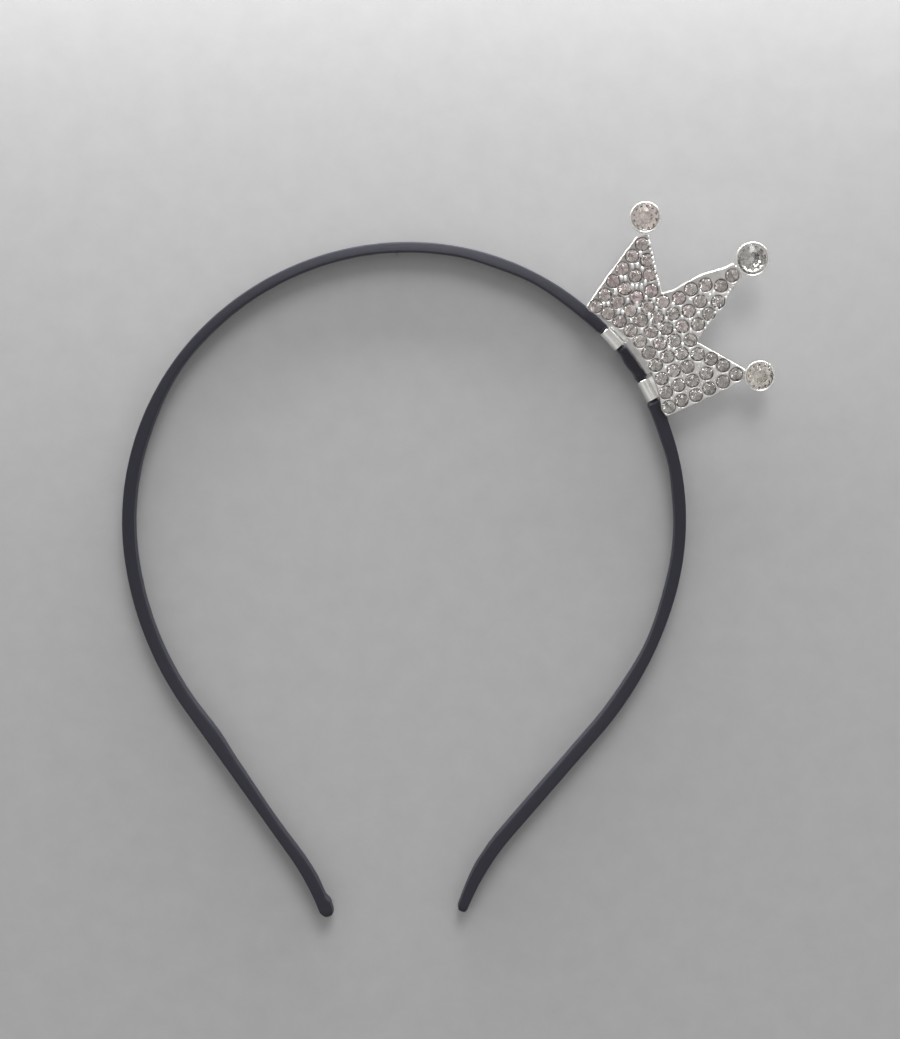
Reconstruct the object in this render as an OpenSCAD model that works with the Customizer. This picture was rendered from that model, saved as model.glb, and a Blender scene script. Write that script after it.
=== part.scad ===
// Mini crown headband: a narrow satin-covered band that carries a small stone-set crown.
// The band lies on its edge, as it does when put down on a table. +X and +Y span the band's
// loop, +Z is across the band's width, and the origin is on the lower edge at the arch's top.

/* [Band] */
// Width of the covered band, from edge to edge
band_w = 5; // [4:0.1:8]
// Thickness of the covered band, from the inner to the outer face
band_t = 2.2; // [2:0.05:3]
// How much further inwards the looser ribbon stands down the band's sides than at the arch's top
band_swell = 0.5; // [0:0.05:0.8]
// Radius that rounds the band's four long edges
band_edge_r = 0.55; // [0.5:0.05:0.95]
// Radius of the arch at its top
arch_r = 60; // [52:1:70]
// Straight stretch of the left leg
leg_left = 40; // [30:1:55]
// Straight stretch of the right leg
leg_right = 30; // [20:1:45]
// Radius of the outward flare at both ends
flare_r = 60; // [40:1:90]
// How far the ribbon's folded end bulges inwards at the left tip
fold_bulge = 0.8; // [0:0.1:1.2]
// Length of the folded end at the left tip
fold_len = 4; // [3:0.5:8]

/* [Crown] */
// Distance along the band from the arch's top to the crown's middle
crown_at = 55.8; // [40:0.1:60]
// Distance from the band's middle line to the crown's lowest row of stones
crown_rise = 4.1; // [3.5:0.05:6]
// Turn of the crown about its own upright, in degrees
crown_turn = 6; // [0:0.5:12]
// Lean of the crown's points to the left, in degrees
crown_lean = 3.1; // [0:0.1:5]
// Clear height between the band and the plate's lowest corner
plate_gap = 0.1; // [0.1:0.05:1]
// Thickness of the crown's plate
plate_t = 1.8; // [1.6:0.1:2.4]

/* [Small stones] */
// Diameter of a small stone
stone_d = 2.8; // [2.4:0.05:3.4]
// Metal between two neighbouring small stones
stone_gap = 0.34; // [0.32:0.02:0.6]
// Height of a small stone above its girdle
stone_crown_h = 0.55; // [0.3:0.05:0.8]
// Depth of a small stone below its girdle
stone_back_h = 0.85; // [0.6:0.05:0.9]
// Clearance round every stone in its seat
seat_clear = 0.1; // [0.1:0.01:0.14]
// Diameter of the raised beads that hold the small stones
bead_d = 0.5; // [0.4:0.02:0.56]
// Height of the raised beads above the plate
bead_h = 0.3; // [0.2:0.05:0.4]

/* [Tip stones] */
// Diameter of the stone on the middle point
tip_stone_middle_d = 6.5; // [5:0.1:6.8]
// Diameter of the stones on the side points
tip_stone_side_d = 5.8; // [4.5:0.1:6.2]
// Wall of the cups that hold the tip stones
cup_wall = 0.4; // [0.3:0.05:0.6]
// Height of the cups
cup_h = 3; // [2.8:0.1:4]
// Height of a tip stone above its girdle
tip_stone_crown_h = 1.05; // [0.6:0.05:1.5]
// Metal under a tip stone's point
cup_floor = 0.4; // [0.3:0.05:0.6]
// Width of the neck between a point and its cup
neck_w = 2; // [1.6:0.1:2.4]

/* [Clips] */
// Length of each clip along the band
clip_len = 4.8; // [3.5:0.1:5.5]
// Thickness of the clips' strip
clip_t = 0.4; // [0.3:0.05:0.5]
// Place of the first clip along the band, from the crown's middle
clip_left_at = -5.3; // [-7:0.1:-4.5]
// Place of the second clip along the band, from the crown's middle
clip_right_at = 8.5; // [7.5:0.1:9.5]
// Clearance between the covered band and a clip
clip_clear = 0.12; // [0.1:0.01:0.2]
// How far each clip pinches the band's thickness
clip_pinch = 0.3; // [0.1:0.05:0.7]
// Width of the bare strip of plate between the clips
margin_w = 1.4; // [1:0.1:1.6]
// Gap between the bare strip's end and the second clip
margin_notch = 0.6; // [0.3:0.05:1]

/* [Hidden] */
$fn = 48;
satin_col = [0.13, 0.12, 0.18];
metal_col = [0.85, 0.85, 0.84];
small_stone_col = [0.72, 0.66, 0.68];
tip_stone_col = [0.86, 0.84, 0.78];

// The band's two sides from the arch's top: [radius, turn in degrees], where radius 0 is a
// straight of the second value, and a negative radius bends outwards
side_left = [
    [1.05 * arch_r, 43.8], [arch_r, 53.5], [1.23 * arch_r, 27.7],
    [0, leg_left],
    [-flare_r, 14.9]
];
side_right = [
    [arch_r, 66.1], [1.01 * arch_r, 38.1], [1.31 * arch_r, 26.4],
    [0, leg_right],
    [-flare_r, 19.3]
];

function piece_len(p) = p[0] == 0 ? p[1] : abs(p[0]) * p[1] * PI / 180;
function side_len(pieces, i = 0) = i == len(pieces) ? 0 : piece_len(pieces[i]) + side_len(pieces, i + 1);

// Pose [x, y, heading] at distance s along one piece that starts at p with heading h
function along(p, h, piece, s) = piece[0] == 0
    ? [p.x + s * cos(h), p.y - s * sin(h), h]
    : let (a = s / piece[0] * 180 / PI)
        [p.x + piece[0] * (sin(h + a) - sin(h)), p.y + piece[0] * (cos(h + a) - cos(h)), h + a];
function walk(pieces, s, i = 0, p = [0, 0, 0]) = s <= piece_len(pieces[i]) || i == len(pieces) - 1
    ? along(p, p.z, pieces[i], s)
    : walk(pieces, s - piece_len(pieces[i]), i + 1, along(p, p.z, pieces[i], piece_len(pieces[i])));

// Pose at signed distance s from the arch's top: left is negative, and the heading is the
// clockwise turn of the band's outward normal from +Y
function band_pose(s) = s < 0
    ? let (q = walk(side_left, -s)) [-q.x, q.y, -q.z]
    : walk(side_right, s);

len_left = side_len(side_left);
len_right = side_len(side_right);
clips_at = [crown_at + clip_left_at, crown_at + clip_right_at];

// The band's section inside a clip leaves room for the strip between the band's own faces
pinched_t = band_t - clip_pinch;
pinched_w = band_w - 2 * (clip_t + clip_clear);
pinch_run = 1.4;
// Half of the stretch that stays pinched in a clip, with a little to spare at its mouth
pinch_zone = clip_len / 2 + 0.15;
// Length that each end is rounded over, and the share of the section left at its flat end
tip_run = 1.3;
tip_flat = 0.45;

function smooth(x) = let (c = min(max(x, 0), 1)) c * c * (3 - 2 * c);
// Share of the pinch at s: 1 inside a clip, 0 away from both
function pinch(s) = max([for (c = clips_at) 1 - smooth((abs(s - c) - pinch_zone) / pinch_run)]);
// Rounding of both ends: 1 along the band, falling to a small flat end
function tip_round(s) = let (e = min(s + len_left, len_right - s) / tip_run)
    e >= 1 ? 1 : tip_flat + (1 - tip_flat) * sqrt(max(0, 1 - (1 - e) * (1 - e)));
// The ribbon loosens from the arch down the sides, over this stretch of each
swell_from = 40;
swell_run = 40;
function swell(s) = band_swell * smooth((abs(s) - swell_from) / swell_run);
function fold(s) = fold_bulge * (1 - smooth((s + len_left - 0.4 * fold_len) / (0.6 * fold_len)));

corner_steps = 3;
// Rounded rectangle t by w as [radial, across] points, four to a corner
function section(t, w) = let (r = min(band_edge_r, 0.45 * t))
    [for (c = [0:3]) for (k = [0:corner_steps])
        let (a = 90 * c + 90 * k / corner_steps, side = c == 0 || c == 3 ? 1 : -1, up = c < 2 ? 1 : -1)
        [side * (t / 2 - r) + r * cos(a), up * (w / 2 - r) + r * sin(a)]];

function ring(s) = let (
        q = band_pose(s),
        k = pinch(s),
        f = tip_round(s),
        t = f * (band_t - k * clip_pinch),
        w = band_w - k * (band_w - pinched_w) - (1 - f) * band_t,
        inward = (fold(s) + swell(s) * (1 - k)) * f
    )
    [for (p = section(t + inward, w))
        let (r = p[0] - inward / 2)
        [q.x + r * sin(q.z), q.y + r * cos(q.z), band_w / 2 + p[1]]];

// Lengths along the band from one ring to the next: at the ends, over the fold, through a
// pinch, inside a clip, and along the rest of the band
end_step = 0.33;
fold_step = 0.8;
pinch_step = 0.4;
clip_step = 1.7;
band_step = 4.2;

function steps(a, b, size) = let (n = max(1, ceil((b - a) / size))) [for (i = [0:n - 1]) a + (b - a) * i / n];
stations = concat(
    steps(-len_left, -len_left + tip_run, end_step),
    steps(-len_left + tip_run, -len_left + fold_len, fold_step),
    steps(-len_left + fold_len, 0, band_step),
    steps(0, clips_at[0] - pinch_zone - pinch_run, band_step),
    steps(clips_at[0] - pinch_zone - pinch_run, clips_at[0] - pinch_zone, pinch_step),
    steps(clips_at[0] - pinch_zone, clips_at[0] + pinch_zone, clip_step),
    steps(clips_at[0] + pinch_zone, clips_at[0] + pinch_zone + pinch_run, pinch_step),
    steps(clips_at[0] + pinch_zone + pinch_run, clips_at[1] - pinch_zone - pinch_run, clip_step),
    steps(clips_at[1] - pinch_zone - pinch_run, clips_at[1] - pinch_zone, pinch_step),
    steps(clips_at[1] - pinch_zone, clips_at[1] + pinch_zone, clip_step),
    steps(clips_at[1] + pinch_zone, clips_at[1] + pinch_zone + pinch_run, pinch_step),
    steps(clips_at[1] + pinch_zone + pinch_run, len_right - tip_run, band_step),
    steps(len_right - tip_run, len_right, end_step),
    [len_right]
);

// Closed skin over rings that all have the same number of points
module skin(rings) {
    n = len(rings[0]);
    last = len(rings) - 1;
    sides = [for (i = [0:last - 1]) for (j = [0:n - 1])
        [i * n + j, (i + 1) * n + j, (i + 1) * n + (j + 1) % n, i * n + (j + 1) % n]];
    first_cap = [for (j = [0:n - 1]) j];
    last_cap = [for (j = [n - 1:-1:0]) last * n + j];
    faces = concat([first_cap], sides, [last_cap]);
    polyhedron(points = [for (r = rings) each r], faces = faces, convexity = 10);
}

module band() {
    color(satin_col) skin([for (s = stations) ring(s)]);
}

// The crown's own frame has x along the base, y up the middle point and z out of the face,
// with its origin at the middle of the lowest row of stones, on the plate's back
pitch = stone_d + stone_gap;
stone_r = stone_d / 2;
seat_r = stone_r + seat_clear;
crown_pose = band_pose(crown_at);

// Rows of stones up the crown, in pitches: [stones, height, spacing, radius of the row's arc,
// place of the row's middle]
stone_rows = [
    [10, 0, 1.01, 9.3, 0],
    [10, 1.01, 1.06, 10, 0],
    [11, 1.96, 1.02, 12.2, 0],
    [6, 2.94, 1.11, 14, 0.05],
    [3, 3.93, 1.13, 24, 0.05],
    [3, 4.95, 1.05, 30, 0.05],
    [2, 5.94, 1.48, 60, 0.14],
    [1, 6.76, 1, 60, 0.15],
    [1, 7.78, 1, 60, 0.08]
];
// Stones of a side point above the rows, in pitches: [across, height]
side_stones = [[3.66, 3.22], [4.56, 3.64], [5.62, 4], [5.45, 2.98], [5.2, 1.93], [4.24, 2.38]];

// Leans a place [x, y] with the crown's points
function lean(p) = [p.x - p.y * tan(crown_lean), p.y];
function row_stones(row) = [for (k = [0:row[0] - 1])
    let (a = (k - (row[0] - 1) / 2) * row[2] / row[3] * 180 / PI)
    lean(pitch * [row[4] + row[3] * sin(a), row[1] - row[3] * (1 - cos(a))])];
stone_places = concat(
    [for (row = stone_rows) each row_stones(row)],
    [for (p = side_stones) lean(pitch * [p.x, p.y])],
    [for (p = side_stones) lean(pitch * [-p.x, p.y])]
);

// Half of the plate's outline in pitches, from the base corner over the side point's tip and
// the valley to the middle point's tip: [across, height]
half_outline = [
    [4.78, -1.62], [5.5, 0.9], [6.28, 4], [5.85, 4.78], [2.12, 3.16],
    [1.78, 3.96], [1.62, 4.95], [1.36, 6.16], [0.66, 7.8], [0.56, 8.35]
];
other_half = [for (i = [len(half_outline) - 1:-1:0]) [-half_outline[i].x, half_outline[i].y]];
outline = [for (p = concat(half_outline, other_half)) lean(pitch * p)];

// Tip stones from left to right: [x, y, diameter]
function cup_r(d) = d / 2 + seat_clear + cup_wall;
tips = [
    concat(lean(pitch * [-6.97, 5.25]), tip_stone_side_d),
    concat(lean(pitch * [0.05, 9.55]), tip_stone_middle_d),
    concat(lean(pitch * [6.74, 5.25]), tip_stone_side_d)
];
// Where each neck leaves the plate
neck_roots = [
    lean(pitch * [-5.7, 4.05]),
    lean(pitch * [0, 8.1]),
    lean(pitch * [5.7, 4.05])
];

// The turn lowers the right side, so the base corner over the band sets the crown's height
crown_z = band_w + plate_gap + pitch * half_outline[0].x * sin(crown_turn);

module at_crown() {
    translate([crown_pose.x, crown_pose.y, 0])
        rotate([0, 0, -crown_pose.z])
            translate([0, crown_rise, crown_z])
                rotate([0, crown_turn, 0])
                    children();
}

// The first row's stones sit one rim inside the base edge, which is an arc about the row's centre
base_rim = 0.12;
base_arc_r = pitch * stone_rows[0][3] - seat_r - base_rim;
base_arc_y = -pitch * stone_rows[0][3];
// The bare strip's lower edge runs parallel with the band, and its left end lies behind the
// first clip's edge
margin_y = -seat_r - base_rim - margin_w;
margin_overlap = 0.5;
margin_x0 = clip_left_at + clip_len / 2 - margin_overlap;
margin_x1 = clip_right_at - clip_len / 2 - margin_notch;
margin_corner = 0.5;

module plate_outline() {
    difference() {
        polygon(outline);
        translate([0, base_arc_y]) circle(r = base_arc_r, $fn = 180);
    }
    difference() {
        union() {
            translate([margin_x0, margin_y])
                square([margin_x1 - margin_corner - margin_x0, margin_w + pitch / 2]);
            translate([margin_x0, margin_y + margin_corner])
                square([margin_x1 - margin_x0, margin_w + pitch / 2 - margin_corner]);
            translate([margin_x1 - margin_corner, margin_y + margin_corner]) circle(r = margin_corner);
        }
        translate([0, margin_y - arch_r]) circle(r = arch_r, $fn = 240);
    }
}

// A bead sits beside two neighbouring stones, against both seats, and inside the plate's edge
bead_r = bead_d / 2;
bead_reach = seat_r + bead_r + 0.02;
bead_inset = bead_r + 0.05;
bead_spacing = bead_d + 0.06;
bead_pairs = [for (i = [0:len(stone_places) - 2]) for (j = [i + 1:len(stone_places) - 1])
    let (d = norm(stone_places[j] - stone_places[i]))
    if (d < 2 * bead_reach - 0.1) [stone_places[i], stone_places[j], d]];
function beside(pair, side) = let (
        m = (pair[0] + pair[1]) / 2,
        e = (pair[1] - pair[0]) / pair[2],
        h = sqrt(bead_reach * bead_reach - pair[2] * pair[2] / 4)
    )
    m + side * h * [-e.y, e.x];
function far_enough(p, others, gap) = len([for (q = others) if (norm(p - q) < gap) 1]) == 0;
// How many edges of an outline lie to the right of p: an odd number when p is inside
function crossings(p, pts) = len([for (i = [0:len(pts) - 1])
    let (a = pts[i], b = pts[(i + 1) % len(pts)])
    if ((a.y > p.y) != (b.y > p.y) && p.x < a.x + (b.x - a.x) * (p.y - a.y) / (b.y - a.y)) 1]);
function edge_distance(p, a, b) = let (
        e = b - a,
        t = min(max((p - a) * e / (e * e), 0), 1)
    )
    norm(p - a - t * e);
function nearest_edge(p, pts) = min([for (i = [0:len(pts) - 1])
    edge_distance(p, pts[i], pts[(i + 1) % len(pts)])]);
function on_plate(p) = crossings(p, outline) % 2 == 1
    && nearest_edge(p, outline) > bead_inset
    && norm(p - [0, base_arc_y]) > base_arc_r + bead_inset;
bead_candidates = [for (pair = bead_pairs) for (side = [-1, 1])
    let (p = beside(pair, side))
    if (far_enough(p, stone_places, bead_reach - 0.01) && on_plate(p)) p];
// Keeps each candidate that is clear of the ones kept before it
function thinned(list, gap, i = 0, kept = []) = i == len(list)
    ? kept
    : thinned(list, gap, i + 1, far_enough(list[i], kept, gap) ? concat(kept, [list[i]]) : kept);
beads = thinned(bead_candidates, bead_spacing);

// Heights of a stone's girdle in the plate and in a cup
girdle_h = 0.12;
girdle_sink = 0.06;
girdle_z = plate_t - girdle_sink - girdle_h;
tip_girdle_h = 0.2;
tip_girdle_sink = 0.1;
tip_girdle_z = cup_h - tip_girdle_sink - tip_girdle_h;
// Shares of a stone's radius at its blunt point and halfway down its back
culet_share = 0.16;
back_share = 0.56;

// Hollow for one stone, from its point up past its girdle
module seat(r, girdle_at, back_h, top) {
    translate([0, 0, girdle_at - back_h - seat_clear])
        cylinder(r1 = culet_share * r + seat_clear, r2 = r + seat_clear, h = back_h);
    translate([0, 0, girdle_at - seat_clear - 0.001]) cylinder(r = r + seat_clear, h = top - girdle_at + 1);
}

// A tip stone reaches down to the metal left under its point
tip_back_h = tip_girdle_z - cup_floor - seat_clear;

cup_foot_share = 0.86;
module cup(d) {
    cylinder(r1 = cup_foot_share * cup_r(d), r2 = cup_r(d), h = cup_h);
}

// Each neck is a little thinner than the plate and lies midway in it
neck_share = 0.8;
module neck(root, tip) {
    run = [tip.x, tip.y] - root;
    translate([root.x, root.y, (1 - neck_share) / 2 * plate_t])
        rotate([0, 0, atan2(run.y, run.x)])
            translate([0, -neck_w / 2, 0]) cube([norm(run) - tip[2] / 2, neck_w, neck_share * plate_t]);
}

// Each clip is a closed loop of strip round the pinched band
loop_t = pinched_t + 2 * clip_clear;
loop_w = pinched_w + 2 * clip_clear;
loop_r = 0.5;
module rounded(t, w, r) {
    square([t - 2 * r, w], center = true);
    square([t, w - 2 * r], center = true);
    for (x = [-1, 1], y = [-1, 1]) translate([x * (t / 2 - r), y * (w / 2 - r)]) circle(r = r);
}
// The strip's end stands up from the loop and runs out under the plate, where it is soldered.
// It leaves the first loop partway across the top, and the second one flush with its outer side
leg_left_r = 0.75;
leg_right_r = loop_t / 2;
solder_reach = 2;
solder_sink = 0.1;
module clip(at, leg_r) {
    q = band_pose(crown_at + at);
    top = band_w / 2 + loop_w / 2 + clip_t;
    base_edge = base_arc_y + sqrt(base_arc_r * base_arc_r - at * at);
    band_drop = arch_r - sqrt(arch_r * arch_r - at * at);
    flange_r = crown_rise + base_edge + band_drop + solder_reach;
    flange_z = crown_z - at * tan(crown_turn) + solder_sink;
    translate([q.x, q.y, 0])
        rotate([0, 0, -q.z]) rotate([90, 0, 90])
            translate([0, 0, -clip_len / 2])
                linear_extrude(clip_len) {
                    translate([0, band_w / 2]) difference() {
                        rounded(loop_t + 2 * clip_t, loop_w + 2 * clip_t, loop_r);
                        rounded(loop_t, loop_w, loop_r - clip_t / 2);
                    }
                    translate([leg_r, top - clip_t]) square([clip_t, flange_z - top + clip_t]);
                    translate([leg_r, flange_z - clip_t]) square([flange_r - leg_r, clip_t]);
                }
}

module crown_setting() {
    color(metal_col) {
        at_crown() difference() {
            union() {
                linear_extrude(plate_t) plate_outline();
                for (p = beads) translate([p.x, p.y, plate_t / 2])
                    cylinder(r = bead_r, h = plate_t / 2 + bead_h, $fn = 16);
                for (i = [0:2]) {
                    translate([tips[i].x, tips[i].y, 0]) cup(tips[i][2]);
                    neck(neck_roots[i], tips[i]);
                }
            }
            for (p = stone_places) translate([p.x, p.y, 0]) seat(stone_r, girdle_z, stone_back_h, plate_t);
            for (t = tips) translate([t.x, t.y, 0]) seat(t[2] / 2, tip_girdle_z, tip_back_h, cup_h);
        }
        clip(clip_left_at, leg_left_r);
        clip(clip_right_at, leg_right_r);
    }
}

// Ring of n points at radius r and height z, turned by a share of one step
function stone_ring(n, r, z, turn = 0) = [for (i = [0:n - 1])
    let (a = 360 * (i + turn) / n)
    [r * cos(a), r * sin(a), z]];

// Brilliant cut with n-fold symmetry: a table, star, main and upper facets over a thin girdle,
// and main facets down to a small culet
table_share = 0.5;
star_share = 0.765;
star_rise = 0.52;
module brilliant(n, d, crown_h, gird_h, back_h) {
    r = d / 2;
    points = concat(
        stone_ring(n, r * table_share, gird_h + crown_h),
        stone_ring(n, r * star_share, gird_h + star_rise * crown_h, 0.5),
        stone_ring(2 * n, r, gird_h),
        stone_ring(2 * n, r, 0),
        stone_ring(n, r * back_share, -0.5 * back_h, 0.5),
        stone_ring(n, r * culet_share, -back_h)
    );
    table = [for (i = [n - 1:-1:0]) i];
    star = [for (i = [0:n - 1]) [i, (i + 1) % n, n + i]];
    main_low = [for (i = [0:n - 1]) [n + i, 2 * n + 2 * i + 1, 2 * n + 2 * i]];
    main_high = [for (i = [0:n - 1]) [n + i, 2 * n + (2 * i + 2) % (2 * n), 2 * n + 2 * i + 1]];
    kite = [for (i = [0:n - 1]) each [[i, n + i, 2 * n + 2 * i], [i, 2 * n + 2 * i, n + (i + n - 1) % n]]];
    girdle = [for (i = [0:2 * n - 1]) each [
        [2 * n + i, 2 * n + (i + 1) % (2 * n), 4 * n + (i + 1) % (2 * n)],
        [2 * n + i, 4 * n + (i + 1) % (2 * n), 4 * n + i]]];
    lower = [for (i = [0:n - 1]) each [
        [6 * n + i, 4 * n + 2 * i, 4 * n + 2 * i + 1],
        [6 * n + i, 4 * n + 2 * i + 1, 4 * n + (2 * i + 2) % (2 * n)]]];
    back = [for (i = [0:n - 1]) each [
        [4 * n + 2 * i, 6 * n + i, 7 * n + i],
        [4 * n + 2 * i, 7 * n + i, 6 * n + (i + n - 1) % n]]];
    last = [for (i = [0:n - 1]) [6 * n + i, 7 * n + (i + 1) % n, 7 * n + i]];
    culet = [for (i = [0:n - 1]) 7 * n + i];
    faces = concat([table, culet], star, main_low, main_high, kite, girdle, lower, back, last);
    polyhedron(points = points, faces = faces, convexity = 2);
}

module pave_stones() {
    color(small_stone_col) at_crown()
        for (p = stone_places) translate([p.x, p.y, girdle_z])
            brilliant(8, stone_d, stone_crown_h, girdle_h, stone_back_h);
}

module tip_stone(i) {
    color(tip_stone_col) at_crown() translate([tips[i].x, tips[i].y, tip_girdle_z])
        brilliant(12, tips[i][2], tip_stone_crown_h, tip_girdle_h, tip_back_h);
}
module tip_stone_left() tip_stone(0);
module tip_stone_middle() tip_stone(1);
module tip_stone_right() tip_stone(2);

band();
crown_setting();
pave_stones();
tip_stone_left();
tip_stone_middle();
tip_stone_right();
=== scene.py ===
"""Looks of the mini crown headband: satin ribbon, cast silver and foil-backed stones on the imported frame."""

import random
from itertools import accumulate
from math import ceil, copysign, cos, dist, hypot, pi, radians, sin, sqrt, tan

import bpy
import numpy as np
from mathutils import Matrix, Vector, noise
from mathutils.geometry import delaunay_2d_cdt


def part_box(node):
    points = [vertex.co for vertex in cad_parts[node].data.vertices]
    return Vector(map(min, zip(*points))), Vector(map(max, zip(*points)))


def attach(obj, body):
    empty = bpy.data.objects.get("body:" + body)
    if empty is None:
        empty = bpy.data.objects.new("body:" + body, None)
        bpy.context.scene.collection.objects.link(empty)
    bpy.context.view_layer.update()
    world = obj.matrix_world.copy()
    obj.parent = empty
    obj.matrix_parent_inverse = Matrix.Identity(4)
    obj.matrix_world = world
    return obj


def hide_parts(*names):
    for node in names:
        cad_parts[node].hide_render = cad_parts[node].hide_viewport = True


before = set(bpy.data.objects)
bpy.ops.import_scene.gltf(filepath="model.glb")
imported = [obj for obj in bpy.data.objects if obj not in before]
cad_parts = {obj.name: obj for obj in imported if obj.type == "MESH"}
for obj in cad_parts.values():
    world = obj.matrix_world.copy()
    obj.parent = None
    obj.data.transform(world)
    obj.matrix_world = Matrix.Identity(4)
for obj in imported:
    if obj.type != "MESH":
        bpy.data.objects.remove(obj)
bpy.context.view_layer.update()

# Every length below is in millimetres and becomes metres when a mesh is made
MM = 0.001

# Band
BAND_W = (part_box("band")[1].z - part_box("band")[0].z) / MM
BAND_T = 2.2
BAND_SWELL = 0.5
SWELL_FROM = 40
SWELL_RUN = 40
BAND_EDGE_R = 0.4
ARCH_R = 60
LEG_LEFT = 40
LEG_RIGHT = 30
FLARE_R = 60
FOLD_BULGE = 0.8
FOLD_LEN = 4
TIP_RUN = 1.3
TIP_FLAT = 0.45
# How far the ribbon's folded ends reach past the strip's left and right ends
FOLD_LEFT = 0.9
FOLD_RIGHT = 0.5

# Crown
CROWN_AT = 55.8
CROWN_RISE = 4.1
CROWN_TURN = 6
CROWN_LEAN = 3.1
# Half of the base in pitches
BASE_CORNER = 4.78
PLATE_GAP = 0.1
PLATE_T = 1.8
PITCH = 3.14
MARGIN_W = 1.4
MARGIN_NOTCH = 0.6
MARGIN_OVERLAP = 0.5
MARGIN_CORNER = 0.5
BASE_ROW_R = 9.3 * PITCH
BASE_RIM = 0.12

# Stones
STONE_D = 2.8
STONE_CROWN_H = 0.55
STONE_BACK_H = 1.2
SEAT_CLEAR = 0.1
SEAT_R = STONE_D / 2 + SEAT_CLEAR
# Radius of a seat's mouth, where the plating closes in round the stone
MOUTH_R = STONE_D / 2 + 0.09
GIRDLE_H = 0.12
GIRDLE_Z = PLATE_T - 0.06 - GIRDLE_H
TIP_STONE_MIDDLE_D = 6.5
TIP_STONE_SIDE_D = 5.8
TIP_STONE_CROWN_H = 1.05
TIP_GIRDLE_H = 0.2
CUP_WALL = 0.4
CUP_H = 3
CUP_LIP_CLEAR = 0.03
CUP_FLOOR = 0.4
CUP_FOOT_SHARE = 0.86
TIP_GIRDLE_Z = CUP_H - 0.1 - TIP_GIRDLE_H
TIP_BACK_H = TIP_GIRDLE_Z - CUP_FLOOR - SEAT_CLEAR
CULET_SHARE = 0.16
BEAD_H = 0.3
NECK_W = 2
# Least distance from the last stone's centre to its point's neck
NECK_FROM = MOUTH_R + 0.1

# Clips
CLIP_LEN = 4.8
CLIP_T = 0.4
CLIP_LEFT_AT = -5.3
CLIP_RIGHT_AT = 8.5
CLIP_CLEAR = 0.12
CLIP_PINCH = 0.3
PINCH_RUN = 0.7
PINCH_ZONE = CLIP_LEN / 2 + 0.15
SOLDER_REACH = 2
SOLDER_SINK = 0.1
CLIPS_AT = (CROWN_AT + CLIP_LEFT_AT, CROWN_AT + CLIP_RIGHT_AT)
PINCHED_T = BAND_T - CLIP_PINCH
PINCHED_W = BAND_W - 2 * (CLIP_T + CLIP_CLEAR)
LOOP_T = PINCHED_T + 2 * CLIP_CLEAR
LOOP_W = PINCHED_W + 2 * CLIP_CLEAR
# The strip's end leaves the first loop partway across the top and bends over a ridge, and leaves
# the second one flush with its outer side
LEG_LEFT_R = 0.5
LEG_RIGHT_R = LOOP_T / 2
RIDGE_H = 0.35
RIDGE_W = 0.65
RIDGE_FALL = 0.06
LOOP_OUTER_R = 1.25
LOOP_INNER_R = 0.85
LOOP_STEPS = 6
LOOP_SOFT = 0.07
BEND_R = 0.18
# Chamfer of the strip's sides: how far in, and over what length
STRIP_SOFT = (0.05, 0.06)
# Least angle of an edge that stays sharp
SHARP_ANGLE = 35

# The band's two sides from the arch's top: radius and turn in degrees, where radius 0 is a straight
# of the second value and a negative radius bends outwards. Shares and turns of the arcs are rounded
# from a least-squares fit to the photo
SIDE_LEFT = ((1.05 * ARCH_R, 43.8), (ARCH_R, 53.5), (1.23 * ARCH_R, 27.7), (0, LEG_LEFT), (-FLARE_R, 14.9))
SIDE_RIGHT = ((ARCH_R, 66.1), (1.01 * ARCH_R, 38.1), (1.31 * ARCH_R, 26.4), (0, LEG_RIGHT), (-FLARE_R, 19.3))


def smooth(x):
    c = min(max(x, 0.0), 1.0)
    return c * c * (3 - 2 * c)


def piece_length(piece):
    radius, turn = piece
    return turn if radius == 0 else abs(radius) * radians(turn)


def advance(x, y, heading, radius, s):
    """Place and heading after distance s along one arc or straight, walking clockwise."""
    if radius == 0:
        return x + s * cos(heading), y - s * sin(heading), heading
    end = heading + s / radius
    return x + radius * (sin(end) - sin(heading)), y + radius * (cos(end) - cos(heading)), end


def band_pose(s):
    """x, y and heading at signed distance s from the arch's top, left negative."""
    x, y, heading, rest = 0.0, 0.0, 0.0, abs(s)
    pieces = SIDE_LEFT if s < 0 else SIDE_RIGHT
    for piece in pieces:
        step = rest if piece is pieces[-1] else min(rest, piece_length(piece))
        x, y, heading = advance(x, y, heading, piece[0], step)
        rest -= step
    return (-x, y, -heading) if s < 0 else (x, y, heading)


LEN_LEFT = sum(piece_length(p) for p in SIDE_LEFT)
LEN_RIGHT = sum(piece_length(p) for p in SIDE_RIGHT)


IDENTITY = Matrix.Identity(4)


def make_mesh(name, verts, faces, materials, kinds=None, matrix=IDENTITY, flat=False):
    """A mesh object from millimetre points. kinds gives each face's material index."""
    mesh = bpy.data.meshes.new(name)
    mesh.from_pydata([(matrix @ Vector(v)) * MM for v in verts], [], faces)
    for material in materials:
        mesh.materials.append(material)
    for i, polygon in enumerate(mesh.polygons):
        polygon.use_smooth = not flat
        if kinds:
            polygon.material_index = kinds[i]
    mesh.validate()
    return add_object(name, mesh)


def add_object(name, data):
    obj = bpy.data.objects.new(name, data)
    bpy.context.scene.collection.objects.link(obj)
    return obj


def add_layer(obj, name, kind, domain, key, values):
    layer = obj.data.attributes.new(name, kind, domain)
    layer.data.foreach_set(key, np.array(values, np.float32).ravel())


def place(obj, slot, *nodes):
    """Rides the piece on the one body and hides the nodes it stands for. The slot is not used."""
    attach(obj, "root")
    if nodes:
        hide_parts(*nodes)


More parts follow.
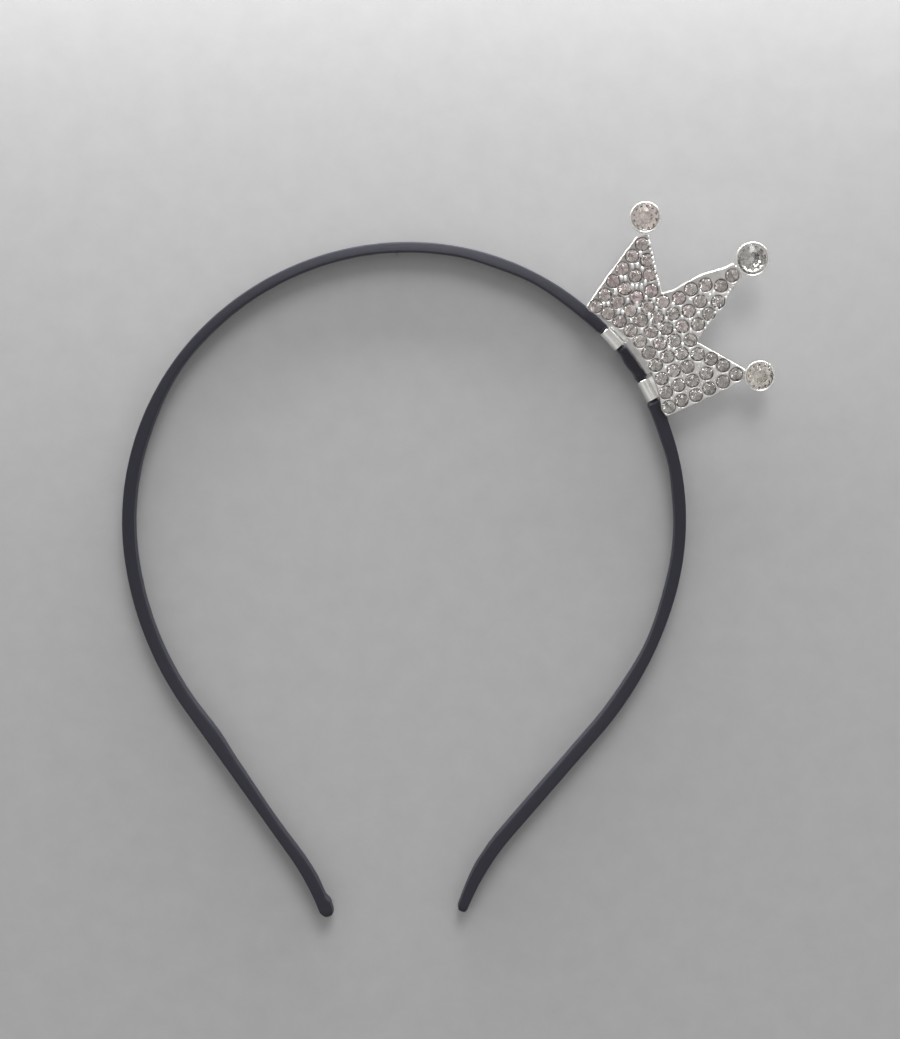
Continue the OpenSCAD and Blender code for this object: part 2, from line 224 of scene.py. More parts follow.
class Parts:
    """Many small closed forms gathered into one mesh."""

    def __init__(self):
        self.verts, self.faces, self.kinds, self.tints = [], [], [], []

    def add(self, verts, faces, matrix=IDENTITY, kinds=None, tints=None):
        start = len(self.verts)
        self.verts += [matrix @ Vector(v) for v in verts]
        self.faces += [tuple(start + i for i in f) for f in faces]
        self.kinds += kinds or [0] * len(faces)
        self.tints += tints or []

    def build(self, name, materials, matrix=IDENTITY, flat=False):
        obj = make_mesh(name, self.verts, self.faces, materials, self.kinds, matrix, flat)
        if self.tints:
            corners = [(*t, 1.0) for t, p in zip(self.tints, obj.data.polygons) for _ in p.loop_indices]
            add_layer(obj, "tint", "FLOAT_COLOR", "CORNER", "color", corners)
        return obj


def span(a, b, count):
    return [a + (b - a) * i / count for i in range(count + 1)]


def circle(n, turn=0.0):
    """Cosine and sine of n even steps round a circle, begun at a share of a step."""
    angles = [2 * pi * (i + turn) / n for i in range(n)]
    return [(cos(a), sin(a)) for a in angles]


def side_faces(rings, n, closed=False):
    """Faces between successive rings of n points, and from the last ring to the first where closed."""
    faces = []
    for i in range(rings if closed else rings - 1):
        a, b = i * n, (i + 1) % rings * n
        faces += [(a + k, a + (k + 1) % n, b + (k + 1) % n, b + k) for k in range(n)]
    return faces


def capped_faces(rings, n):
    """The same with a face over each end."""
    last = (rings - 1) * n
    return side_faces(rings, n) + [tuple(range(n - 1, -1, -1)), tuple(range(last, last + n))]


def lathe(profile, segments):
    """Closed or open form turned about +Z from (radius, height) points; radius 0 is one point."""
    verts, faces, rings = [], [], []
    for radius, height in profile:
        count = 1 if radius == 0 else segments
        rings.append((len(verts), count))
        verts += [(radius * c, radius * s, height) for c, s in circle(segments)[:count]]
    for (a, na), (b, nb) in zip(rings, rings[1:]):
        for k in range(segments):
            j = (k + 1) % segments
            ring = [a + k, a + j, b + j, b + k]
            if na == 1:
                ring = [a, b + j, b + k]
            elif nb == 1:
                ring = [a + k, a + j, b]
            faces.append(tuple(ring))
    return verts, faces


# Materials

def node_material(name):
    material = bpy.data.materials.new(name)
    material.use_nodes = True
    return material, material.node_tree, material.node_tree.nodes["Principled BSDF"]


def set_inputs(node, inputs):
    """Links each named input to the output that is given for it, or sets its value."""
    for name, value in inputs.items():
        if isinstance(value, bpy.types.NodeSocket):
            node.id_data.links.new(value, node.inputs[name])
        else:
            node.inputs[name].default_value = value


def add_node(tree, kind, inputs=None, **settings):
    node = tree.nodes.new("ShaderNode" + kind)
    for name, value in settings.items():
        setattr(node, name, value)
    set_inputs(node, inputs or {})
    return node


def attribute(tree, name, output="Color"):
    return add_node(tree, "Attribute", attribute_name=name).outputs[output]


def coordinates(tree, output="Object"):
    return add_node(tree, "TexCoord").outputs[output]


def clouds(tree, coords, scale, detail=3.0, roughness=0.5):
    inputs = {"Vector": coords, "Scale": scale, "Detail": detail, "Roughness": roughness}
    return add_node(tree, "TexNoise", inputs).outputs["Fac"]


def ramp(tree, source, *stops):
    """Colour by the source's value, from stops of a value and a colour, or one number for a grey."""
    node = add_node(tree, "ValToRGB", {"Fac": source})
    elements = node.color_ramp.elements
    while len(elements) < len(stops):
        elements.new(0.5)
    for element, (value, colour) in zip(elements, stops):
        element.position = value
        element.color = (*colour, 1) if isinstance(colour, tuple) else (colour, colour, colour, 1)
    return node.outputs["Color"]


def bump(tree, height, strength, distance, normal=None):
    inputs = {"Height": height, "Strength": strength, "Distance": distance}
    if normal:
        inputs["Normal"] = normal
    return add_node(tree, "Bump", inputs).outputs["Normal"]


def mixed(tree, blend, a, b):
    inputs = {"Factor": 1.0, "A": a, "B": b}
    return add_node(tree, "Mix", inputs, data_type="RGBA", blend_type=blend).outputs["Result"]


def satin_material():
    """Near-black satin: long floats along the ribbon, a soft violet sheen and faint streaks."""
    material, tree, shader = node_material("satin")
    ribbon = attribute(tree, "ribbon", "Vector")
    stretch = add_node(tree, "Mapping", {"Scale": (0.35, 2.6, 1), "Vector": ribbon})
    streaks = clouds(tree, stretch.outputs["Vector"], 1.0, 4.0)
    colour = ramp(tree, streaks, (0.30, (0.0042, 0.0040, 0.0080)), (0.55, (0.0056, 0.0053, 0.0103)),
                  (0.75, (0.0074, 0.0070, 0.0130)))
    rough = ramp(tree, streaks, (0.3, 0.57), (0.7, 0.64))
    floats = add_node(tree, "Mapping", {"Scale": (1.6, 11, 1), "Vector": ribbon})
    weave = add_node(tree, "TexBrick", {
        "Vector": floats.outputs["Vector"], "Scale": 1.0, "Brick Width": 1.0, "Row Height": 1.0,
        "Color1": (1, 1, 1, 1), "Color2": (0.72, 0.72, 0.72, 1), "Mortar": (0, 0, 0, 1),
        "Mortar Size": 0.08, "Mortar Smooth": 1.0}, offset=0.4)
    fine = bump(tree, weave.outputs["Color"], 0.35, 0.00003)
    slubs = clouds(tree, ribbon, 0.9, 5.0, 0.6)
    normal = bump(tree, slubs, 0.25, 0.0002, fine)

    # The floats lie along the ribbon, so gloss spreads across it
    along = attribute(tree, "along", "Vector")
    upright = add_node(tree, "NewGeometry").outputs["Normal"]
    across = add_node(tree, "VectorMath", {0: along, 1: upright}, operation="CROSS_PRODUCT")
    set_inputs(shader, {
        "Base Color": colour, "Roughness": rough, "Normal": normal, "Tangent": across.outputs["Vector"],
        "Specular IOR Level": 0.98, "Specular Tint": (0.88, 0.88, 1.0, 1), "Anisotropic": 0.92,
        "Sheen Weight": 0.06, "Sheen Roughness": 0.35, "Sheen Tint": (0.60, 0.59, 0.72, 1)})
    return material


def thread_material():
    material, tree, shader = node_material("thread")
    twist = clouds(tree, coordinates(tree), 9000, 2.0)
    colour = ramp(tree, twist, (0.3, (0.02, 0.018, 0.028)), (0.7, (0.05, 0.046, 0.066)))
    set_inputs(shader, {"Base Color": colour, "Roughness": 0.6, "Sheen Weight": 0.3})
    return material


def silver_material(name, tint, rough_low, rough_high, grain, depth, with_painted_shade=False):
    """Bright plating over a casting: cloudy roughness, a faint skin of grain and soft dents.

    Where asked, the mesh's shade attribute darkens it: painted shade for the shade on the webs between the
    stones and on the strip between the clips.
    """
    material, tree, shader = node_material(name)
    coords = coordinates(tree)
    cloudy = clouds(tree, coords, 420, 4.0, 0.6)
    plating = ramp(tree, cloudy, (0.25, tuple(0.84 * c for c in tint)), (0.6, tint))
    if with_painted_shade:
        plating = mixed(tree, "MULTIPLY", plating, attribute(tree, "shade"))
    rough = ramp(tree, cloudy, (0.3, rough_low), (0.7, rough_high))
    skin = clouds(tree, coords, grain, 3.0, 0.55)
    normal = bump(tree, skin, 0.5, depth)
    set_inputs(shader, {"Base Color": plating, "Roughness": rough, "Normal": normal, "Metallic": 1.0})
    return material


def glass_material():
    """Clear crown of a stone, with faint clouds in its gloss."""
    material, tree, shader = node_material("stone_glass")
    rough = ramp(tree, clouds(tree, coordinates(tree), 600, 2.0), (0.4, 0.01), (0.8, 0.05))
    set_inputs(shader, {"Base Color": (0.995, 0.995, 0.99, 1), "Roughness": rough,
                        "Transmission Weight": 1.0, "IOR": 1.56})
    return material


def foil_material(name, roughness):
    """Mirror foil in the stone's tint with its facets' painted shades, clouded a little inside each stone."""
    material, tree, shader = node_material(name)
    tint = attribute(tree, "tint")
    shade = ramp(tree, clouds(tree, coordinates(tree), 700, 2.0), (0.3, 0.9), (0.7, 1.0))
    colour = mixed(tree, "MULTIPLY", tint, shade)
    set_inputs(shader, {"Base Color": colour, "Roughness": roughness, "Metallic": 1.0})
    return material


def floor_material():
    material, tree, shader = node_material("floor_paper")
    fibres = clouds(tree, coordinates(tree), 160, 5.0, 0.6)
    colour = ramp(tree, fibres, (0.3, (0.338, 0.337, 0.340)), (0.7, (0.356, 0.355, 0.359)))
    normal = bump(tree, fibres, 0.1, 0.0002)
    inputs = {"Base Color": colour, "Normal": normal, "Roughness": 0.85, "Specular IOR Level": 0.25}
    set_inputs(shader, inputs)
    return material


# Satin band

CORNER_STEPS = 5
INNER_SHARES = (0.12, 0.25, 0.37)
UNDER_SHARES = (0.66, 0.83)
OUTER_SHARES = (0.17, 0.33, 0.5, 0.67, 0.83)
# The ribbon's lap on the inner wall: its height from the middle, how far that wanders and wobbles,
# its edge and its layer
LAP_AT = -0.25
LAP_WANDER = 0.3
LAP_WOBBLE = 0.06
LAP_STEP = 0.05
LAP_T = 0.14
LAP_RUN = 1.3
# Height of the ribbon's puckers: soft ones, their share on the outer side, fine ones, and those
# beside a clip
PUCKER = 0.045
OUTER_PUCKER = 0.35
FINE_PUCKER = 0.02
CLIP_PUCKER = 0.07
CLIP_PUCKER_AT = PINCH_ZONE + 0.9
CLIP_PUCKER_RUN = 1.6
# Steps between rings: at the tips, near them and the clips, and elsewhere
TIP_STEP, NEAR_STEP, PLAIN_STEP = 0.12, 0.3, 0.8
NEAR_TIP = 6
NEAR_CLIP = 9
# Loose stretches of ribbon on the inner face: place along the band, run each way, and reach. A
# negative reach draws the face in
SLACK = ((CROWN_AT + 4.4, 3.4, -0.4), (CROWN_AT - 2, 3, -0.55), (CROWN_AT + 1.2, 4, -0.15), (-10, 18, -0.08),
         (12, 13, -0.06), (20, 9, 0.2), (40, 12, 0.3), (82, 8, -0.26), (100, 22, -0.3), (122, 14, -0.42),
         (-60, 16, -0.3), (-148, 8, 0.3), (-172, 22, -0.5), (-192, 6, -0.2),
         (-LEN_LEFT, 4, -0.5), (LEN_RIGHT, 11, -0.55))
# The same on the outer face: the ribbon puffs out beside the second clip and narrows to its left end
OUTER_SLACK = ((CROWN_AT + 5.2, 1.8, 0.55), (CROWN_AT + 14, 3, 0.35), (-LEN_LEFT - FOLD_LEFT, 1.8, -0.55))


def pinch(s):
    return max(1 - smooth((abs(s - c) - PINCH_ZONE) / PINCH_RUN) for c in CLIPS_AT)


def tip_gap(s):
    return min(s + LEN_LEFT + FOLD_LEFT, LEN_RIGHT + FOLD_RIGHT - s)


def tip_round(s):
    e = tip_gap(s) / TIP_RUN
    return 1 if e >= 1 else TIP_FLAT + (1 - TIP_FLAT) * sqrt(max(0, 1 - (1 - e) ** 2))


def fold(s):
    return FOLD_BULGE * (1 - smooth((s + LEN_LEFT - 0.45 * FOLD_LEN) / (0.5 * FOLD_LEN)))


def swell(s):
    return BAND_SWELL * smooth((abs(s) - SWELL_FROM) / SWELL_RUN)


def slack(s, places):
    """How much further the ribbon bulges there than in its run along the band."""
    return sum(reach * (1 - smooth(abs(s - at) / run)) for at, run, reach in places)


def corner(c, t, w, r, steps):
    """Points round a corner of a rounded rectangle t by w; c counts the four anticlockwise."""
    side = 1 if c in (0, 3) else -1
    up = 1 if c < 2 else -1
    angles = [radians(90 * (c + k / steps)) for k in range(steps + 1)]
    return [(side * (t / 2 - r) + r * cos(a), up * (w / 2 - r) + r * sin(a)) for a in angles]


def band_section(t, w, lap):
    """Rounded rectangle as (radial, across) points, with two close ones at the lap's edge."""
    r = min(BAND_EDGE_R, 0.45 * t)
    flat_w = w / 2 - r
    corners = [corner(c, t, w, r, CORNER_STEPS) for c in range(4)]
    points = corners[0] + [(0.0, w / 2)] + corners[1]
    points += [(-t / 2, flat_w * (1 - 2 * q)) for q in INNER_SHARES]
    points += [(-t / 2, lap + LAP_STEP), (-t / 2, lap - LAP_STEP)]
    points += [(-t / 2, flat_w * (1 - 2 * q)) for q in UNDER_SHARES] + corners[2]
    points += [(0.0, -w / 2)] + corners[3]
    return points + [(t / 2, -flat_w * (1 - 2 * q)) for q in OUTER_SHARES]


def wave(x, y=0.0, z=0.0):
    return noise.noise(Vector((x, y, z)))


def band_relief(s, radial, across, lap):
    """How far the ribbon stands off its plain section: the lap's layer and soft puckers."""
    lift = 0.0
    if radial < 0 and lap < across < lap + LAP_RUN:
        lift += LAP_T * (1 - smooth((across - lap) / LAP_RUN))
    share = 1.0 if radial < 0 else OUTER_PUCKER
    lift += PUCKER * share * wave(0.55 * s, 0.5 * across, 3.1 + radial)
    lift += FINE_PUCKER * wave(1.9 * s, 1.3 * across, 7.7)
    near = max(smooth(1 - abs(abs(s - c) - CLIP_PUCKER_AT) / CLIP_PUCKER_RUN) for c in CLIPS_AT)
    return lift + CLIP_PUCKER * near * wave(1.1 * s, 2.2 * across, 1.7 * radial)


def band_ring(s):
    x, y, heading = band_pose(s)
    k, f = pinch(s), tip_round(s)
    t = f * (BAND_T - k * CLIP_PINCH)
    w = BAND_W - k * (BAND_W - PINCHED_W) - (1 - f) * BAND_T
    inward = (fold(s) + (swell(s) + slack(s, SLACK)) * (1 - k)) * f
    outward = slack(s, OUTER_SLACK) * (1 - k)
    lap = (LAP_AT + LAP_WANDER * wave(0.08 * s) + LAP_WOBBLE * wave(0.7 * s, 5)) * f
    free = (1 - k) * f
    ring = []
    for radial, across in band_section(t + inward + outward, w, lap):
        lift = free * band_relief(s, radial, across, lap)
        length = hypot(radial, across * t / w) or 1
        r = radial + (outward - inward) / 2 + lift * radial / length
        z = BAND_W / 2 + across
        ring.append((x + r * sin(heading), y + r * cos(heading), max(z, 0)))
    return ring


def band_stations():
    """Distances of the rings, closer together at the tips and by the clips."""
    s, out = -LEN_LEFT - FOLD_LEFT, []
    while s < LEN_RIGHT + FOLD_RIGHT:
        out.append(s)
        tip, clip_gap = tip_gap(s), min(abs(s - c) for c in CLIPS_AT)
        near = tip < NEAR_TIP or clip_gap < NEAR_CLIP
        s += TIP_STEP if tip < TIP_RUN + 0.2 else NEAR_STEP if near else PLAIN_STEP
    return out + [LEN_RIGHT + FOLD_RIGHT]


def satin_band(material):
    """The ribbon's skin. A face's corner is a ring and a place round it, for point and coordinates alike."""
    stations = band_stations()
    rings = [band_ring(s) for s in stations]
    n, last = len(rings[0]), len(rings) - 1
    section = band_section(BAND_T, BAND_W, 0)
    around = [0.0, *accumulate(dist(a, b) for a, b in zip(section, section[1:]))]
    around.append(around[-1] + 1)
    corners = [[(0, j) for j in range(n)]]
    corners += [[(i, j), (i + 1, j), (i + 1, j + 1), (i, j + 1)] for i in range(last) for j in range(n)]
    corners.append([(last, j) for j in range(n - 1, -1, -1)])
    faces = [tuple(i * n + j % n for i, j in face) for face in corners]
    obj = make_mesh("satin_band", [p for ring in rings for p in ring], faces, [material])
    coords = [(stations[i], around[j], 0) for face in corners for i, j in face]
    add_layer(obj, "ribbon", "FLOAT_VECTOR", "CORNER", "vector", coords)
    headings = [band_pose(s)[2] for s in stations]
    ways = [(cos(h), -sin(h), 0) for h in headings for _ in range(n)]
    add_layer(obj, "along", "FLOAT_VECTOR", "POINT", "vector", ways)
    place(obj, "satin", "band")


# Crown's own frame: x along the base, y up the middle point, z out of the face

def turned(axis, degrees):
    return Matrix.Rotation(radians(degrees), 4, axis)


def lifted(p, z):
    return Matrix.Translation((p.x, p.y, z))


def crown_matrix():
    x, y, heading = band_pose(CROWN_AT)
    rise = BAND_W + PLATE_GAP + PITCH * BASE_CORNER * sin(radians(CROWN_TURN))
    return (Matrix.Translation((x, y, 0)) @ Matrix.Rotation(-heading, 4, "Z")
            @ Matrix.Translation((0, CROWN_RISE, rise)) @ turned("Y", CROWN_TURN))


CROWN = crown_matrix()
CROWN_Z = CROWN.translation.z
# Points nearer than this are one corner of a solid
WELD = 0.001


def lean(x, y):
    return Vector((PITCH * (x - y * tan(radians(CROWN_LEAN))), PITCH * y))


def node_places(node):
    """Centres of a node's separate solids in the crown's frame, from the frame's own mesh."""
    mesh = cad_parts[node].data
    keys = [tuple(round(c / (WELD * MM)) for c in v.co) for v in mesh.vertices]
    link = {key: key for key in keys}

    def top(key):
        while link[key] != key:
            key = link[key]
        return key

    for e in mesh.edges:
        a, b = (top(keys[i]) for i in e.vertices)
        link[max(a, b)] = min(a, b)
    groups = {}
    for v, key in zip(mesh.vertices, keys):
        groups.setdefault(top(key), []).append(CROWN.inverted() @ (v.co / MM))
    centres = []
    for points in groups.values():
        xs, ys = [p.x for p in points], [p.y for p in points]
        centres.append(Vector(((min(xs) + max(xs)) / 2, (min(ys) + max(ys)) / 2)))
    return sorted(centres, key=lambda p: (round(p.y, 2), round(p.x, 2)))


STONES = node_places("pave_stones")
TIPS = [(node_places(f"tip_stone_{side}")[0], d) for side, d in (
    ("left", TIP_STONE_SIDE_D), ("middle", TIP_STONE_MIDDLE_D), ("right", TIP_STONE_SIDE_D))]
NECK_ROOTS = (lean(-5.7, 4.05), lean(0, 8.1), lean(5.7, 4.05))

# Half of the plate's outline in pitches, from the base corner over the side point's tip and
# the valley to the middle point's tip
HALF_OUTLINE = (
    (BASE_CORNER, -1.62), (5.5, 0.9), (6.28, 4), (5.85, 4.78), (2.12, 3.16),
    (1.78, 3.96), (1.62, 4.95), (1.36, 6.16), (0.66, 7.8), (0.56, 8.35),
)
BASE_ARC_R = BASE_ROW_R - SEAT_R - BASE_RIM
MARGIN_Y = -SEAT_R - BASE_RIM - MARGIN_W
OUTLINE_STEP = 0.35


def base_arc(x):
    return -BASE_ROW_R + sqrt(BASE_ARC_R ** 2 - x * x)


def margin_edge(x):
    return MARGIN_Y - ARCH_R + sqrt(ARCH_R ** 2 - x * x)


def plate_outline():
    """The plate's closed edge, anticlockwise, with a point every third of a millimetre or so."""
    corners = [lean(x, y) for x, y in HALF_OUTLINE] + [lean(-x, y) for x, y in reversed(HALF_OUTLINE)]
    foot = corners[0].y
    reach = sqrt(BASE_ARC_R ** 2 - (foot + BASE_ROW_R) ** 2)
    start = CLIP_LEFT_AT + CLIP_LEN / 2 - MARGIN_OVERLAP
    end = CLIP_RIGHT_AT - CLIP_LEN / 2 - MARGIN_NOTCH
    r = MARGIN_CORNER
    base = [(x, base_arc(x)) for x in span(-reach, start, 28)]
    base += [(x, margin_edge(x)) for x in span(start, end - r, 24)]
    base += [(end - r + r * sin(a), margin_edge(end - r) + r - r * cos(a))
             for a in span(0, pi / 2, 6)[1:]]
    base += [(x, base_arc(x)) for x in span(end, reach, 24)]
    loop = corners + [Vector(p) for p in base]
    dense = []
    for a, b in zip(loop, loop[1:] + loop[:1]):
        count = max(1, ceil((b - a).length / OUTLINE_STEP))
        dense += [a.lerp(b, i / count) for i in range(count)]
    kept = [dense[0]]
    for p in dense[1:]:
        if (p - kept[-1]).length > 0.02:
            kept.append(p)
    return kept


def edge_gaps(points, loop):
    """Distance of each point to the loop, and whether it lies inside."""
    p = np.array(points, float)[:, None, :]
    a = np.array(loop, float)[None, :, :]
    b = np.roll(a, -1, axis=1)
    e = b - a
    t = np.clip(((p - a) * e).sum(2) / np.maximum((e * e).sum(2), 1e-12), 0, 1)
    gap = np.linalg.norm(p - a - t[..., None] * e, axis=2).min(1)
    (x, y), (ax, ay), (ex, ey) = (np.moveaxis(v, 2, 0) for v in (p, a, e))
    above = (ay > y) != (b[..., 1] > y)
    cross = x < ax + ex * (y - ay) / np.where(np.abs(ey) < 1e-12, 1e-12, ey)
    return gap, (above & cross).sum(1) % 2 == 1


def seat_gaps(points, rank=0):
    """Distance of each point to the nearest seat's rim, or a further seat's, negative inside a seat."""
    p = np.array(points, float)[:, None, :]
    centres = np.array(STONES, float)[None, :, :]
    return np.sort(np.linalg.norm(p - centres, axis=2), axis=1)[:, rank] - MOUTH_R


def round_over(gap, r):
    d = np.clip(gap, 0, r)
    return r - np.sqrt(np.maximum(r * r - (r - d) ** 2, 0))


EDGE_ROUND = 0.18
LIP_ROUND = 0.1
BACK_ROUND = 0.22
WEB_RISE = 0.07
SEAT_SIDES = 40
# Distance from an edge over which a web rises
WEB_RUN = 0.35
LIP_SIDES = 30
LIP_RINGS = (0.03, 0.08, 0.16)
EDGE_RINGS = (0.05, 0.12, 0.24, 0.4)
BACK_RINGS = (0.08, BACK_ROUND)
GRID = 0.42
# Radius and height of a seat's rings: a wall, a ledge under the girdle and a cone to the stone's point
SEAT_WALL = ((MOUTH_R, GIRDLE_Z + 0.04), (SEAT_R, GIRDLE_Z - 0.02), (SEAT_R - 0.16, GIRDLE_Z - 0.1),
             (CULET_SHARE * STONE_D / 2 + SEAT_CLEAR, GIRDLE_Z - STONE_BACK_H - SEAT_CLEAR))


def inset(loop, d):
    """Points moved inwards from an anticlockwise loop, along each corner's own bisector."""
    out = []
    for a, p, b in zip(loop[-1:] + loop[:-1], loop, loop[1:] + loop[:1]):
        way = ((p - a).normalized() + (b - p).normalized()).normalized()
        out.append(p + d * way.orthogonal())
    return out


def triangulate(loop, circles, free):
    """Constrained triangles over the loop and circles, with free points in between."""
    points = list(loop)
    edges = [(i, (i + 1) % len(loop)) for i in range(len(loop))]
    for ring in circles:
        start, count = len(points), len(ring)
        points += ring
        edges += [(start + i, start + (i + 1) % count) for i in range(count)]
    points += free
    flat, _, faces, source, _, _ = delaunay_2d_cdt(points, edges, [], 0, 1e-5)
    where = {}
    for new, olds in enumerate(source):
        for old in olds:
            where[old] = new
    return flat, faces, where


# Painted shade on the plate: darker on the strip between the clips, and between the stones at the left and
# right, where the webs lie in shade
MARGIN_PAINTED_SHADE = 0.6
WEB_PAINTED_SHADES = (0.56, 0.84)
WEB_PAINTED_SHADE_FROM = -9
WEB_PAINTED_SHADE_RUN = 10


# Painted shade: full brightness at the edges, darker on the webs between the stones and on the strip between
# the clips
def painted_plate_shade(p, gap):
    if p.y < base_arc(p.x) + 0.1:
        return MARGIN_PAINTED_SHADE
    low, high = WEB_PAINTED_SHADES
    deep = low + (high - low) * smooth((p.x - WEB_PAINTED_SHADE_FROM) / WEB_PAINTED_SHADE_RUN)
    return 1 + (deep - 1) * smooth((gap - 0.05) / 0.2)


def grid_points(loop, step):
    """A grid over the loop's box, with every other row shifted by half a step."""
    xs, ys = [p.x for p in loop], [p.y for p in loop]
    wide, high = int((max(xs) - min(xs)) / step), int((max(ys) - min(ys)) / step)
    return [Vector((min(xs) + step * (j + i % 2 / 2), min(ys) + step * i))
            for i in range(high) for j in range(wide + 1)]


def loose_points(loop):
    """Points between the plate's edge and the seats: rings along both and a grid, without crowding."""
    lips = [(c, d) for c in STONES for d in LIP_RINGS]
    free = [(c + (MOUTH_R + d) * Vector(way), d) for c, d in lips for way in circle(LIP_SIDES)]
    free += [(p, d) for d in EDGE_RINGS for p in inset(loop, d)]
    free += [(p, GRID / 2) for p in grid_points(loop, GRID)]
    places = [p for p, _ in free]
    gap, inside = edge_gaps(places, loop)
    room = np.minimum(gap, seat_gaps(places))
    wanted = np.array([d for _, d in free])
    kept = inside & (room > wanted - 0.012) & (room > 0.02)
    return [p for p, ok in zip(places, kept) if ok]


def face_middles(flat, faces, loop):
    """The faces' middles, and whether each lies inside the loop."""
    middles = [sum((flat[i] for i in f), Vector((0, 0))) / len(f) for f in faces]
    return middles, edge_gaps(middles, loop)[1]


def plate_top(loop):
    """The top's points, painted shades and faces, and where the edge's and seats' points are among them."""
    circles = [[c + MOUTH_R * Vector(way) for way in circle(SEAT_SIDES)] for c in STONES]
    flat, faces, where = triangulate(loop, circles, loose_points(loop))
    gap, _ = edge_gaps(flat, loop)
    seat = seat_gaps(flat)
    web = np.clip(np.minimum(gap, seat) / WEB_RUN, 0, 1)
    height = PLATE_T + WEB_RISE * web * web * (3 - 2 * web)
    height -= round_over(gap, EDGE_ROUND) + round_over(seat, LIP_ROUND)
    verts = [(p.x, p.y, z) for p, z in zip(flat, height)]
    painted_shades = [painted_plate_shade(p, g) for p, g in zip(flat, gap)]
    middles, inside = face_middles(flat, faces, loop)
    kept = inside & (seat_gaps(middles) > -0.004)
    return verts, painted_shades, [tuple(f) for f, ok in zip(faces, kept) if ok], where


def add_seat(verts, ring, centre):
    """Adds the points below a seat's ring to verts, and gives the seat's faces."""
    faces = []
    for r, z in SEAT_WALL:
        below = list(range(len(verts), len(verts) + SEAT_SIDES))
        verts += [(centre.x + r * c, centre.y + r * s, z) for c, s in circle(SEAT_SIDES)]
        pairs = list(zip(ring, below))
        faces += [(a, b, d, c) for (a, c), (b, d) in zip(pairs, pairs[1:] + pairs[:1])]
        ring = below
    return faces + [tuple(reversed(ring))]


def add_back(verts, loop, where):
    """Adds the back's points to verts, and gives its faces and the outer wall's."""
    places = [p for d in BACK_RINGS for p in inset(loop, d)]
    gap, inside = edge_gaps(places, loop)
    places = [p for p, ok in zip(places, inside & (gap > 0.05)) if ok]
    flat, faces, low = triangulate(loop, [], places)
    gap, _ = edge_gaps(flat, loop)
    start, count = len(verts), len(loop)
    verts += [(p.x, p.y, z) for p, z in zip(flat, round_over(gap, BACK_ROUND))]
    _, inside = face_middles(flat, faces, loop)
    back = [tuple(start + i for i in reversed(f)) for f, ok in zip(faces, inside) if ok]
    steps = [(i, (i + 1) % count) for i in range(count)]
    return back + [(where[j], where[i], start + low[i], start + low[j]) for i, j in steps]


def crown_plate(metal, painted_shadow):
    """Cast plate: rounded edges, webs that swell a little between the stones, and open seats whose walls are
    painted dark as painted shadow, while the webs carry a painted shade.
    """
    loop = plate_outline()
    verts, painted_shades, top, where = plate_top(loop)
    seats = []
    for s, centre in enumerate(STONES):
        first = len(loop) + s * SEAT_SIDES
        seats += add_seat(verts, [where[first + k] for k in range(SEAT_SIDES)], centre)
    back = add_back(verts, loop, where)
    kinds = [0] * len(top) + [1] * len(seats) + [0] * len(back)
    obj = make_mesh("crown_plate", verts, top + seats + back, [metal, painted_shadow], kinds, CROWN)
    add_layer(obj, "shade", "FLOAT", "POINT", "value", painted_shades + [1.0] * (len(verts) - len(painted_shades)))
    place(obj, "silver", "crown_setting")


# Beads, cups and necks

# Step of the places that are tried, least room to the nearest seat, and most to the third
BEAD_GRID = 0.2
BEAD_ROOM = 0.07
BEAD_THIRD = 1.2
BEAD_RIM = 0.36
# The beads stand lower towards the right point
BEADS_FADE_AT = 3
BEADS_FADE_RUN = 8
BEAD_SIDE_R = 0.39
# A bead is longer one way than the other. Its long way lies this many degrees from the crown's x,
# and beads keep these distances along and across it
BEAD_WAY = -37
BEAD_SPACING = (1.45, 0.9)
# How deep a bead's stem stands in the plate, its dome's height in radii, and the most degrees by
# which it turns from that way and leans
BEAD_SINK = 0.25
BEAD_DOME = 0.8
BEAD_SIDES = 18
BEAD_SWING = 14
BEAD_TILT = 9
# Ranges of its size: shares of its radius and height, and its length in widths
BEAD_R_SHARES = (0.85, 1.12)
BEAD_H_SHARES = (1.4, 2.0)
BEAD_LENGTHS = (1.3, 2.1)
# Ends of two borders in pitches, with round beads along them: the middle point's right one and the
# left point's right one
BORDERS = (((1.78, 4.2), (0.75, 7.5)), ((-2.7, 3.4), (-5.6, 4.66)))
BORDER_SPACING = 0.98
BORDER_BEAD_R = 0.34
BORDER_SHIFT = 0.14
BORDER_R_SHARES = (0.75, 1.15)
BORDER_H_SHARES = (0.6, 1.3)
BORDER_LENGTH = 1.2


def sway(draw, most):
    return draw.uniform(-most, most)


def bead_places(loop):
    """Places between three stones, those with the most room first."""
    tried = grid_points(loop, BEAD_GRID)
    gap, inside = edge_gaps(tried, loop)
    seat, third = seat_gaps(tried), seat_gaps(tried, 2)
    clear = inside & (gap > BEAD_RIM) & (seat > BEAD_ROOM) & (third < BEAD_THIRD)
    rows = [(p, s) for p, s, ok in zip(tried, seat, clear) if ok and p.y > base_arc(p.x) + BEAD_RIM]
    way = radians(BEAD_WAY)
    along = Vector((cos(way), sin(way)))
    kept = []
    for p, _ in sorted(rows, key=lambda row: -row[1]):
        steps = [p - q for q in kept]
        if all(hypot(d.dot(along) / BEAD_SPACING[0], d.dot(along.orthogonal()) / BEAD_SPACING[1]) > 1
               for d in steps):
            kept.append(p)
    return kept


def border_places():
    found = []
    for ends in BORDERS:
        a, b = (lean(*place_at) for place_at in ends)
        way = (b - a).normalized()
        inward = way.orthogonal() * BORDER_BEAD_R
        count = int((b - a).length / BORDER_SPACING) + 1
        found += [a + way * BORDER_SPACING * i + inward for i in range(count)]
    return found


